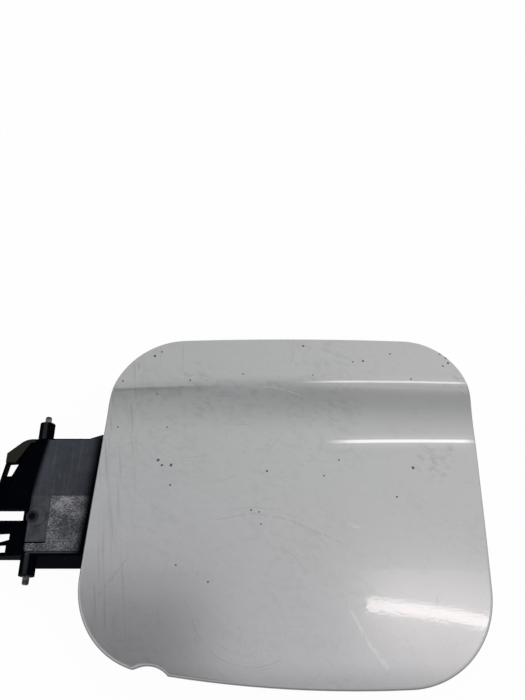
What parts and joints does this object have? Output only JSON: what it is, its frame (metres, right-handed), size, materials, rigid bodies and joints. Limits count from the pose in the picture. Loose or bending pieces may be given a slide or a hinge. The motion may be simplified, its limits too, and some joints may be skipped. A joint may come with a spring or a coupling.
{
  "type": "fuel filler flap",
  "caption": "Painted, crowned steel fuel filler flap with a swage line and hemmed edge, on a black moulded gooseneck hinge arm that swings about a steel pin.",
  "frame": {"origin": "on the hinge axis, at the shoulder where the upper pin end begins", "axes": "+X from the hinge to the free edge, +Y up on the car along the hinge axis, +Z the way the painted face looks"},
  "size_m": [0.2226, 0.1555, 0.0308],
  "materials": {
    "body_paint": "silver metallic paint under clear coat, worn, with chips and fine scratches",
    "inner_paint": "silver paint, thin and duller than outside",
    "mastic": "matt sealing mastic",
    "arm_plastic": "black glass-filled moulding, satin, scuffed grey on the deck",
    "plated_steel": "zinc plate, dull",
    "striker_plastic": "black moulding, satin",
    "buffer_rubber": "matt black rubber"
  },
  "bodies": {
    "pin": {"hinge_pin": "plated_steel"},
    "flap": {"outer_skin": "body_paint", "inner_panel": "inner_paint", "mastic_dabs": "mastic", "hinge_arm": "arm_plastic", "backing_plate": "inner_paint", "weld_nuts": "plated_steel", "arm_screws": "plated_steel", "latch_striker": "striker_plastic", "striker_rivets": "plated_steel", "upper_buffer": "buffer_rubber", "lower_buffer": "buffer_rubber"}
  },
  "joints": [
    {"name": "flap_swing", "type": "hinge", "parent": "pin", "child": "flap", "pos_m": [0, 0, 0], "axis": [0, -1, 0], "range_deg": [0, 105]}
  ]
}
